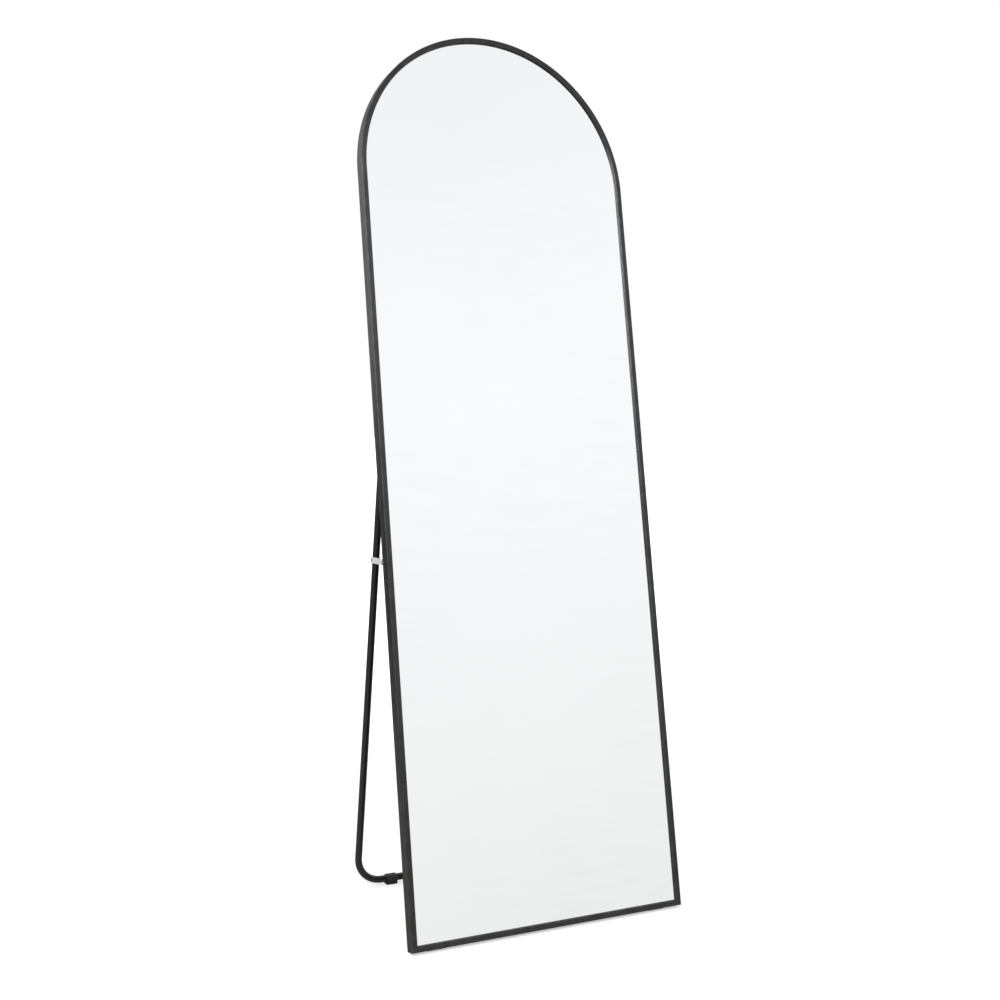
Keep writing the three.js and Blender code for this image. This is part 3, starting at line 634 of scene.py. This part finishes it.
def frameCutters(corner, side):
    work = bmesh.new()
    half, rear = frameSizes["width"] / 2, frameSizes["depth"]
    for spot in cornerScrewSpots():
        place = (Matrix.Translation(spot + Vector((0, rear, 0)))
                 @ Matrix.Rotation(math.pi / 2, 4, "X"))
        sink(work, place, corner["sinkRadius"], corner["shankRadius"] + corner["clear"])
    for screw in (side["pivot"], side["stay"]):
        for direction in sides.values():
            place = (Matrix.Translation((direction * half, side["depth"], screw["rise"]))
                     @ Matrix.Rotation(-direction * math.pi / 2, 4, "Y"))
            sink(work, place, screw["head"] + side["clear"], screw["shank"] + side["clear"])
    bmesh.ops.recalc_face_normals(work, faces=work.faces)
    mesh = bpy.data.meshes.new("screwSinks")
    work.to_mesh(mesh)
    work.free()
    return newObject("screwSinks", mesh)


def cutOut(mesh, cutter):
    worker = newObject("cutWorker", mesh)
    modifier = worker.modifiers.new("cut", "BOOLEAN")
    modifier.operation, modifier.object, modifier.solver = "DIFFERENCE", cutter, "EXACT"
    done = evaluated(worker)
    bpy.data.objects.remove(worker)
    bpy.data.objects.remove(cutter)
    return done


def makeFrame(size):
    points, edge = frameSection(size)
    count = len(points)
    around, total = [], 0.0
    for i, point in enumerate(points):
        around.append(total)
        total += (points[(i + 1) % count] - point).length
    section = lineMesh("frameSection", points, [(i, (i + 1) % count) for i in range(count)],
                       around=("FLOAT", around), edge=("FLOAT", edge))
    mesh = grow("frameBody", section, frameTree(), {
        "Width": size["width"], "Height": size["height"], "Arch Steps": size["archSteps"],
        "Section Points": count, "Joint Gap": size["jointGap"],
        "Material": materials["frame_metal"]})
    closeUp(mesh)
    mesh = cutOut(mesh, frameCutters(cornerScrewSizes, sideScrewSizes))
    mesh.name = "frameBody"
    mesh.transform(mirrorPlace)
    piece = newObject("frameBody", mesh)
    evenShading(piece)
    finishPiece(piece, "frame", "frame_metal", "frame_arch", "bottom_rail")
    print("frame:", len(mesh.polygons), "faces")


makeFrame(frameSizes)


# stand: one tube bent round two corners, its ends rounded about the pivots

standSizes = {
    "legX": 0.2215, "legLength": 0.89743, "tube": 0.006, "wall": 0.0012, "bend": 0.045,
    "bendSteps": 20, "roundSteps": 40, "endRadius": 0.00605, "sharp": 50,
}


def tubeTree():
    tree, wires, given, result = newTree(
        "bentTube", "GeometryNodeTree",
        [("Path", "Geometry"), ("Tube Radius", "Float"), ("Tube Wall", "Float"),
         ("Bend Radius", "Float"), ("Bend Steps", "Int"), ("Round Steps", "Int"),
         ("End Radius", "Float"), ("Material", "Material")],
        [("Tube", "Geometry")])
    path = wires.add("GeometryNodeMeshToCurve", {"Mesh": given["Path"]})
    path = wires.add("GeometryNodeFilletCurve", {"Curve": path, "Count": given["Bend Steps"],
                                                 "Radius": given["Bend Radius"]}, mode="POLY")
    ring = wires.add("GeometryNodeCurvePrimitiveCircle",
                     {"Resolution": given["Round Steps"], "Radius": given["Tube Radius"]})
    skin = wires.add("GeometryNodeCurveToMesh", {"Curve": path, "Profile Curve": ring})
    position = wires.add("GeometryNodeInputPosition")
    apart = wires.add("ShaderNodeSeparateXYZ", {0: position})
    y, z = apart.node.outputs["Y"], apart.node.outputs["Z"]
    endsAbove = -0.0005  # only the two end rings lie above this
    rise = wires.maths("SUBTRACT", wires.maths("POWER", given["End Radius"], 2.0),
                       wires.maths("POWER", wires.maths("ABSOLUTE", y), 2.0))
    rise = wires.maths("SQRT", wires.maths("MAXIMUM", rise, 0.0))
    skin = wires.add("GeometryNodeSetPosition",
                     {"Geometry": skin, "Position": wires.combine(apart, y, rise),
                      "Selection": wires.maths("GREATER_THAN", z, endsAbove)})
    thin = wires.maths("MULTIPLY", given["Tube Wall"], -1.0)
    inside = wires.add("GeometryNodeExtrudeMesh", {"Mesh": skin, "Offset Scale": thin,
                                                   "Individual": False}, mode="FACES")
    inside = wires.add("GeometryNodeFlipFaces", {"Mesh": inside})
    whole = wires.add("GeometryNodeMergeByDistance", {"Geometry": wires.join(inside, skin),
                                                      "Distance": weld})
    wires.plug(result[0], wires.solid(whole, given["Material"]))
    return tree


def makeStand(size):
    x, low = size["legX"], -size["legLength"]
    path = lineMesh("standPath", [(-x, 0, 0), (-x, 0, low), (x, 0, low), (x, 0, 0)],
                    [(0, 1), (1, 2), (2, 3)])
    mesh = grow("standFrame", path, tubeTree(), {
        "Tube Radius": size["tube"], "Tube Wall": size["wall"], "Bend Radius": size["bend"],
        "Bend Steps": size["bendSteps"], "Round Steps": size["roundSteps"],
        "End Radius": size["endRadius"], "Material": materials["stand_tube"]})
    closeUp(mesh)
    mesh.transform(standPlace)
    piece = newObject("standFrame", mesh)
    evenShading(piece, size["sharp"])
    finishPiece(piece, "stand", "stand_tube", "stand_tube")
    print("stand:", len(mesh.polygons), "faces")


makeStand(standSizes)


# screws and rivets: one turned head with a cut recess, set at each spot

def headTree():
    rings, bars, overlap = 8, 3, 0.0001  # on the crown; in one recess; shank into head
    tree, wires, given, result = newTree(
        "turnedHeads", "GeometryNodeTree",
        [("Spots", "Geometry"), ("Head Radius", "Float"), ("Head Height", "Float"),
         ("Rim", "Float"), ("Under Share", "Float", 1.0), ("Slot Length", "Float"),
         ("Slot Width", "Float"), ("Slot Depth", "Float"), ("Slot Turn", "Float"),
         ("Shank Radius", "Float"), ("Shank Length", "Float"), ("Segments", "Int"),
         ("Material", "Material")],
        [("Heads", "Geometry")])
    disc = wires.add("GeometryNodeMeshCylinder",
                     {"Vertices": given["Segments"], "Side Segments": 1, "Fill Segments": rings,
                      "Radius": 1.0, "Depth": 1.0})
    position = wires.add("GeometryNodeInputPosition")
    apart = wires.add("ShaderNodeSeparateXYZ", {0: position})
    flat = wires.vector("MULTIPLY", position, (1, 1, 0))
    radius = wires.add("ShaderNodeVectorMath", {0: flat}, out="Value", operation="LENGTH")
    radius = wires.maths("MINIMUM", radius, 1.0)
    upper = wires.maths("GREATER_THAN", apart.node.outputs["Z"], 0.0)
    turn = wires.maths("MULTIPLY", radius, math.pi / 2)
    swell = wires.maths("DIVIDE", wires.maths("SINE", turn),
                        wires.maths("MAXIMUM", radius, 1e-5))
    wide = wires.add("ShaderNodeMix", {0: upper, 2: given["Under Share"], 3: swell},
                     data_type="FLOAT")
    wide = wires.maths("MULTIPLY", wide, given["Head Radius"])
    crown = wires.maths("SUBTRACT", given["Head Height"], given["Rim"])
    rise = wires.maths("MULTIPLY_ADD", crown, wires.maths("COSINE", turn), given["Rim"])
    rise = wires.maths("MULTIPLY", rise, upper)
    shaped = wires.combine(wires.maths("MULTIPLY", apart, wide),
                           wires.maths("MULTIPLY", apart.node.outputs["Y"], wide), rise)
    head = wires.add("GeometryNodeSetPosition", {"Geometry": disc, "Position": shaped})
    cut = wires.add("GeometryNodeMeshBoolean", operation="DIFFERENCE", solver="EXACT")
    tree.links.new(head, cut.node.inputs["Mesh 1"])
    deep = wires.maths("MULTIPLY", given["Slot Depth"], 2.0)
    slotSize = wires.combine(given["Slot Length"], given["Slot Width"], deep)
    lift = wires.combine(0.0, 0.0, given["Head Height"])
    for k in range(bars):  # the third bar of a cross lies on its first
        box = wires.add("GeometryNodeMeshCube", {"Size": slotSize})
        spin = wires.maths("MULTIPLY", given["Slot Turn"], float(k))
        moved = wires.add("GeometryNodeTransform", {"Geometry": box, "Translation": lift,
                                                    "Rotation": wires.combine(0.0, 0.0, spin)})
        tree.links.new(moved, cut.node.inputs["Mesh 2"])
    shank = wires.add("GeometryNodeMeshCylinder",
                      {"Vertices": given["Segments"], "Radius": given["Shank Radius"],
                       "Depth": given["Shank Length"]})
    drop = wires.maths("MULTIPLY_ADD", given["Shank Length"], -0.5, overlap)
    shank = wires.add("GeometryNodeTransform", {"Geometry": shank,
                                                "Translation": wires.combine(0.0, 0.0, drop)})
    whole = wires.join(shank, cut)
    facing = wires.add("GeometryNodeInputNamedAttribute", {"Name": "facing"},
                       data_type="FLOAT_VECTOR")
    turned = wires.add("FunctionNodeAlignRotationToVector", {"Vector": facing}, axis="Z")
    spots = wires.add("GeometryNodeMeshToPoints", {"Mesh": given["Spots"]})
    placed = wires.add("GeometryNodeInstanceOnPoints", {"Points": spots, "Instance": whole,
                                                        "Rotation": turned})
    wires.plug(result[0], wires.solid(placed, given["Material"]))
    return tree


turnedHeads = headTree()
headSegments, headWeld = 48, 1e-7
noRecess = {"Slot Length": 0.001, "Slot Width": 0.001, "Slot Depth": 0.0, "Slot Turn": 0.0}


def hexOf(flats, depth):
    return {"Slot Length": flats, "Slot Width": flats / math.sqrt(3), "Slot Depth": depth,
            "Slot Turn": math.pi / 3}


def crossOf(length, wide, depth):
    return {"Slot Length": length, "Slot Width": wide, "Slot Depth": depth,
            "Slot Turn": math.pi / 2}


def makeHeads(name, body, slotName, spots, facings, values, replaced, place=mirrorPlace,
              look=None):
    flat = [value for facing in facings for value in facing]
    base = lineMesh(name, [tuple(spot) for spot in spots], facing=("FLOAT_VECTOR", flat))
    settings = {"Segments": headSegments, "Material": materials[look or slotName], **values}
    mesh = grow(name, base, turnedHeads, settings)
    closeUp(mesh, headWeld)
    mesh.transform(place)
    piece = newObject(name, mesh)
    evenShading(piece)
    finishPiece(piece, body, slotName, *replaced)


def flushHead(screw, recess):
    tall = screw["head"] - screw["shank"]
    return {"Head Radius": screw["head"], "Head Height": tall, "Rim": tall,
            "Under Share": screw["shank"] / screw["head"], "Shank Radius": screw["shank"],
            "Shank Length": screw["length"], **recess}


boltSizes = {
    "pivot": flushHead(sideScrewSizes["pivot"], hexOf(0.0027, 0.0014)),
    "stay": flushHead(sideScrewSizes["stay"], hexOf(0.0024, 0.0012)),
    "hanger": {"Head Radius": 0.0027, "Head Height": 0.0014, "Rim": 0.0003,
               "Shank Radius": 0.0015, "Shank Length": 0.008,
               **crossOf(0.0028, 0.0005, 0.0008)},
    "corner": {"Head Radius": 0.0027, "Head Height": 0.0006, "Rim": 0.00045,
               "Shank Radius": 0.0015, "Shank Length": 0.007,
               **crossOf(0.003, 0.0006, 0.0005)},
    "knee": {"Head Radius": 0.0036, "Head Height": 0.0012, "Rim": 0.00035,
             "Shank Radius": 0.002, "Shank Length": 0.0018, **noRecess},
}
hangerScrewSizes = {"out": 0.24525, "depth": 0.0221, "rise": 1.19, "apart": 0.022}
kneeRivetSizes = {"out": 0.2314}

across = [(-1, 0, 0), (1, 0, 0)]
for label, pieceName, part in (("pivot", "pivotBolts", "pivot_bolt"),
                               ("stay", "stayScrews", "stay_screw")):
    seat = frameSizes["width"] / 2 - boltSizes[label]["Head Height"] - sideScrewSizes["below"]
    makeHeads(pieceName, "frame", "black_steel",
              [(side * seat, sideScrewSizes["depth"], sideScrewSizes[label]["rise"])
               for side in sides.values()],
              across, boltSizes[label], [f"{part}_{side}" for side in sides])
rearward = [(0, 1, 0)] * 4
hangerSpots = [(side * hangerScrewSizes["out"], hangerScrewSizes["depth"],
                hangerScrewSizes["rise"] + end * hangerScrewSizes["apart"])
               for side in sides.values() for end in (1, -1)]
makeHeads("hangerScrews", "frame", "zinc_steel", hangerSpots, rearward, boltSizes["hanger"],
          [f"hanger_screw_{side}_{end}" for side in sides for end in ("upper", "lower")])
cornerSpots = [spot + Vector((0, cornerScrewSizes["seat"], 0)) for spot in cornerScrewSpots()]
makeHeads("cornerScrews", "frame", "zinc_steel", cornerSpots, rearward, boltSizes["corner"],
          [f"corner_screw_{side}_{end}" for side in sides for end in ("upper", "lower")])
for sideName, side in sides.items():
    low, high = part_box(f"knee_rivet_{sideName}")
    y, z = (low[1] + high[1]) / 2, (low[2] + high[2]) / 2
    makeHeads(f"kneeRivet_{sideName}", f"front_link_{sideName}", "zinc_steel",
              [(side * kneeRivetSizes["out"], y, z)], [(side, 0, 0)], boltSizes["knee"],
              [f"knee_rivet_{sideName}"], Matrix.Identity(4), "rivet")
print("screws and rivets: done")


# feet: a clip round the bar with a sole below it, and a crease where they meet

footSizes = {
    "bore": 0.0063, "outer": 0.008, "soleHalf": 0.0065, "drop": 0.010, "mouth": 70.0,
    "offset": 0.158, "length": 0.020, "crease": 0.0007, "creaseRise": 0.0038, "ease": 0.0005,
    "easeShare": 0.6, "easeSteps": 3, "arcSteps": 16, "boreSteps": 40, "sharp": 35,
    "creaseFlat": 0.4,
}


def footSection(size):
    outer, half, drop = size["outer"], size["soleHalf"], size["drop"]
    crease, rise = size["crease"], size["creaseRise"]
    flat = size["creaseFlat"] * crease
    shoulder = math.degrees(math.acos(half / outer))
    edge = 90 - size["mouth"] / 2

    def arc(radius, start, end, steps):
        return [(radius * math.cos(math.radians(start + (end - start) * k / steps)),
                 radius * math.sin(math.radians(start + (end - start) * k / steps)))
                for k in range(steps + 1)]

    side = [(half, rise + crease - drop), (half - crease, rise - drop),
            (half - crease, rise - flat - drop), (half, rise - flat - crease - drop),
            (half, size["ease"] - drop), (half - size["ease"], -drop)]
    left = [(-y, z) for y, z in side]
    return (arc(outer, 180 - edge, 180 + shoulder, size["arcSteps"]) + left + side[::-1]
            + arc(outer, 360 - shoulder, 360 + edge, size["arcSteps"])
            + arc(size["bore"], edge, edge + size["mouth"] - 360, size["boreSteps"]))


def makeFeet(size):
    section = footSection(size)
    low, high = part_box("stand_foot_left")
    middle = (low[1] + high[1]) / 2
    for sideName, side in sides.items():
        work = bmesh.new()
        start = side * size["offset"] - size["length"] / 2
        ring = [work.verts.new((start, middle + y, size["drop"] + z)) for y, z in section]
        face = work.faces.new(ring)
        grown = bmesh.ops.extrude_face_region(work, geom=[face])
        moved = [item for item in grown["geom"] if isinstance(item, bmesh.types.BMVert)]
        bmesh.ops.translate(work, verts=moved, vec=(size["length"], 0, 0))
        bmesh.ops.recalc_face_normals(work, faces=work.faces)
        rims = [edge for edge in work.edges
                if abs(edge.verts[0].co.x - edge.verts[1].co.x) < weld]
        bmesh.ops.bevel(work, geom=rims, offset=size["easeShare"] * size["ease"],
                        segments=size["easeSteps"], profile=0.5, affect="EDGES",
                        clamp_overlap=True)
        mesh = bpy.data.meshes.new("barFoot_" + sideName)
        work.to_mesh(mesh)
        work.free()
        piece = newObject(mesh.name, mesh)
        evenShading(piece, size["sharp"])
        finishPiece(piece, "stand", "black_rubber", "stand_foot_" + sideName)
    print("feet: done")


makeFeet(footSizes)


# mirror: drawn by its silver, at the depth where it appears behind clear glass

mirrorSizes = {"silver": 0.00395}


def makeMirror(size):
    mesh = nodes["mirror_glass"].data.copy()
    mesh.name = "silveredPane"
    mesh.transform(mirrorPlace.inverted())
    work = merged(mesh)
    depths = [vert.co.y for vert in work.verts]
    middle = (min(depths) + max(depths)) / 2
    for vert in work.verts:
        if vert.co.y < middle:
            vert.co.y = size["silver"]
    work.to_mesh(mesh)
    work.free()
    mesh.transform(mirrorPlace)
    finishPiece(newObject("silveredPane", mesh), "frame", "mirror_glass", "mirror_glass")
    print("mirror:", round(min(depths), 6), round(max(depths), 6))


makeMirror(mirrorSizes)


# smaller pieces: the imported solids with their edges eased

easing = {"flat": 0.5, "sharp": 40, "steps": 2}
easedEdges = {
    "stay_front_link": 0.0003, "stay_rear_link": 0.0003,
    "hanger_plate": 0.0003, "pivot_nut": 0.0003, "bottom_pad": 0.0003, "pivot_spacer": 0.0,
    "pivot_saddle_washer": 0.0, "stay_stud": 0.0002, "leg_rivet": 0.0, "knee_tail": 0.0,
}
easedLooks = {"stay_front_link": "stay", "stay_rear_link": "stay", "stay_stud": "rivet",
              "leg_rivet": "rivet", "knee_tail": "rivet"}


def easedPiece(nodeName, ease):
    mesh = nodes[nodeName].data.copy()
    work = merged(mesh)
    bmesh.ops.dissolve_limit(work, angle_limit=math.radians(easing["flat"]), verts=work.verts,
                             edges=work.edges)
    if ease:
        least = math.radians(easing["sharp"])
        sharp = [edge for edge in work.edges
                 if edge.is_manifold and edge.calc_face_angle(0) > least]
        bmesh.ops.bevel(work, geom=sharp, offset=ease, segments=easing["steps"], profile=0.5,
                        affect="EDGES", clamp_overlap=True)
    work.to_mesh(mesh)
    work.free()
    parts = nodeName.rsplit("_", 1)
    words = parts[0].split("_")
    name = words[0] + "".join(word.title() for word in words[1:]) + "Eased_" + parts[1]
    piece = newObject(name, mesh)
    mesh.name = name
    piece.data.materials.clear()
    evenShading(piece)
    finishPiece(piece, bodyOf[nodeName], slotOf[nodeName], nodeName,
                look=easedLooks.get(parts[0]))


for kind, ease in easedEdges.items():
    for sideName in sides:
        easedPiece(f"{kind}_{sideName}", ease)
print("smaller pieces: done")


# floor, surround, lamps and camera

def floorMaterial():
    look = {"mirrored": (0.78, 0.34), "mirroredSpan": (0.4, 2.6), "seen": (0.5, 1.0),
            "seenSpan": (0.7, 2.2), "warm": (1.0, 0.96, 0.92), "pale": (0.86, 0.9),
            "grain": {"Scale": 40.0, "Detail": 3.0}}
    material = bpy.data.materials.new("paleFloor")
    material.use_nodes = True
    tree = material.node_tree
    tree.nodes.clear()
    wires = Wiring(tree)
    rays = wires.add("ShaderNodeLightPath")
    camera, glossy = rays.node.outputs["Is Camera Ray"], rays.node.outputs["Is Glossy Ray"]
    place = objectPlace(wires)
    away = wires.add("ShaderNodeVectorMath", {0: place}, out="Value", operation="LENGTH")
    grain = wires.noise(place, look["grain"])
    # what metal and glass see of the floor is a painted reflection: warmer, and darker away
    # from the middle
    fade = wires.span(away, *look["mirrored"], *look["mirroredSpan"])
    white = wires.span(grain, *look["pale"])
    glow = wires.span(away, *look["seen"], *look["seenSpan"])
    level = wires.add("ShaderNodeMix", {0: glossy, 2: white, 3: fade}, data_type="FLOAT")
    tint = wires.blend(glossy, (1, 1, 1, 1), (*look["warm"], 1))
    colour = wires.vector("MULTIPLY", level, tint)
    matt = wires.add("ShaderNodeBsdfDiffuse", {"Color": colour})
    lit = wires.add("ShaderNodeEmission", {"Color": (1, 1, 1, 1),
                                           "Strength": wires.maths("MULTIPLY", camera, glow)})
    both = wires.add("ShaderNodeAddShader", {0: matt, 1: lit})
    end = tree.nodes.new("ShaderNodeOutputMaterial")
    tree.links.new(both, end.inputs["Surface"])
    return material


def makeFloor(reach=14.0):
    mesh = bpy.data.meshes.new("studioFloor")
    mesh.from_pydata([(-reach, -reach, 0), (reach, -reach, 0), (reach, reach, 0),
                      (-reach, reach, 0)], [], [(0, 1, 2, 3)])
    mesh.materials.append(floorMaterial())
    newObject("studioFloor", mesh)


def makeWorld():
    # what the glass sees: a pale room, brightest some 20 degrees above level
    look = {"diffuse": 0.62, "ramp": [
        (0.0, (0.80, 0.79, 0.78)), (0.45, (0.83, 0.825, 0.815)),
        (0.525, (0.882, 0.88, 0.872)), (0.558, (0.905, 0.905, 0.9)),
        (0.62, (0.95, 0.95, 0.95)), (0.683, (0.978, 0.978, 0.978)),
        (0.745, (0.95, 0.951, 0.953)), (0.777, (0.905, 0.912, 0.922)),
        (1.0, (0.88, 0.885, 0.9))]}
    world = bpy.data.worlds.new("studioSurround")
    scene.world = world
    world.use_nodes = True
    tree = world.node_tree
    tree.nodes.clear()
    wires = Wiring(tree)
    rays = wires.add("ShaderNodeLightPath").node.outputs
    direction = wires.add("ShaderNodeTexCoord", out="Generated")
    height = wires.add("ShaderNodeSeparateXYZ", {0: direction}, out="Z")
    ramp = wires.add("ShaderNodeValToRGB", {0: wires.span(height, 0.0, 1.0, -1.0, 1.0)})
    stops = ramp.node.color_ramp.elements
    for position, colour in look["ramp"][1:-1]:
        stops.new(position)
    for stop, (position, colour) in zip(stops, look["ramp"]):
        stop.position, stop.color = position, (*colour, 1)
    soft = wires.add("ShaderNodeBackground", {"Color": (1, 1, 1, 1),
                                              "Strength": look["diffuse"]})
    mirrored = wires.add("ShaderNodeBackground", {"Color": ramp, "Strength": 1.0})
    white = wires.add("ShaderNodeBackground", {"Color": (1, 1, 1, 1), "Strength": 1.0})
    shiny = wires.maths("MAXIMUM", rays["Is Glossy Ray"], rays["Is Transmission Ray"])
    mixed = wires.add("ShaderNodeMixShader", {0: shiny, 1: soft, 2: mirrored})
    mixed = wires.add("ShaderNodeMixShader", {0: rays["Is Camera Ray"], 1: mixed, 2: white})
    end = tree.nodes.new("ShaderNodeOutputWorld")
    tree.links.new(mixed, end.inputs["Surface"])


lampAim = Vector((0, 0, 0.7))
lamps = {
    "lampKey": {"place": (-1.8, -2.4, 2.7), "size": 1.4, "power": 56.0},
    "lampRear": {"place": (-1.4, 2.9, 1.6), "size": 1.4, "power": 6.0},
}


def makeLamps():
    for name, lamp in lamps.items():
        light = bpy.data.lights.new(name, "AREA")
        light.shape, light.size, light.energy = "SQUARE", lamp["size"], lamp["power"]
        made = bpy.data.objects.new(name, light)
        scene.collection.objects.link(made)
        made.location = lamp["place"]
        aim = lampAim - Vector(lamp["place"])
        made.rotation_euler = aim.to_track_quat("-Z", "Y").to_euler()


viewpoint = {
    "place": (-1.11772, -2.03804, 0.89838), "right": (0.88314, -0.46792, 0.03329),
    "forward": (0.46889, 0.87833, -0.09317), "lens": 50.0, "sensor": 36.0, "farthest": 60.0,
}


def makeCamera():
    data = bpy.data.cameras.new("viewCamera")
    data.lens, data.sensor_width = viewpoint["lens"], viewpoint["sensor"]
    data.clip_end = viewpoint["farthest"]
    made = bpy.data.objects.new("viewCamera", data)
    scene.collection.objects.link(made)
    back = -Vector(viewpoint["forward"]).normalized()
    up = back.cross(Vector(viewpoint["right"])).normalized()
    right = up.cross(back)
    made.matrix_world = Matrix((
        (right.x, up.x, back.x, viewpoint["place"][0]),
        (right.y, up.y, back.y, viewpoint["place"][1]),
        (right.z, up.z, back.z, viewpoint["place"][2]),
        (0, 0, 0, 1)))
    scene.camera = made


makeFloor()
makeWorld()
makeLamps()
makeCamera()
scene.view_settings.view_transform = "Standard"
print("studio: done")
